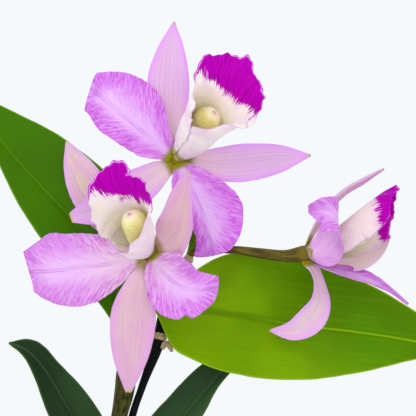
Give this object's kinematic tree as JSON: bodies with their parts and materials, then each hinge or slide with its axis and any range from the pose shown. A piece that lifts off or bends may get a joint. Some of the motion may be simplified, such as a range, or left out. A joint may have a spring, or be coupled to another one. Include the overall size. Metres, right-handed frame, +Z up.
{
  "type": "cattleya orchid in a pot",
  "caption": "Potted orchid with upright canes, broad leaves and pink blooms that have frilled magenta lips.",
  "frame": {"origin": "centre of the pot's flat bottom face", "axes": "+Z up; -Y is the front, the side that the blooms face; +X to the right seen from the front"},
  "size_m": [0.2532, 0.115, 0.3781],
  "materials": {
    "sepal": "matte, faintly silky",
    "petal": "matte, faintly silky",
    "lip": "velvety",
    "column": "waxy",
    "stalk": "satin",
    "leaf": "satin",
    "leaf_dark": "satin",
    "cane_dark": "satin",
    "cane_olive": "satin",
    "root": "matte",
    "sheath": "papery",
    "medium": "rough",
    "pot": "matte"
  },
  "bodies": {
    "root": {"bloom_a_sepal_top": "sepal", "bloom_a_sepal_right": "sepal", "bloom_a_sepal_low": "sepal", "bloom_a_petal_left": "petal", "bloom_a_petal_low": "petal", "bloom_a_lip": "lip", "bloom_a_column": "column", "bloom_b_sepal_left": "sepal", "bloom_b_sepal_right": "sepal", "bloom_b_sepal_low": "sepal", "bloom_b_petal_left": "petal", "bloom_b_petal_right": "petal", "bloom_b_lip": "lip", "bloom_b_column": "column", "bloom_c_sepal_top": "sepal", "bloom_c_sepal_far": "sepal", "bloom_c_sepal_low": "sepal", "bloom_c_petal_near": "petal", "bloom_c_petal_far": "petal", "bloom_c_lip": "lip", "bloom_c_column": "column", "flower_spike": "stalk", "bloom_b_stalk": "stalk", "bloom_c_stalk": "stalk", "cane_flowering": "cane_dark", "cane_second": "cane_olive", "cane_third": "cane_olive", "leaf_right": "leaf", "leaf_left": "leaf", "leaf_low_left": "leaf_dark", "leaf_low_right": "leaf_dark", "sheath_flowering": "sheath", "sheath_second": "sheath", "sheath_third": "sheath", "sheath_scrap": "sheath", "rhizome": "root", "growing_medium": "medium", "pot": "pot"}
  },
  "joints": []
}
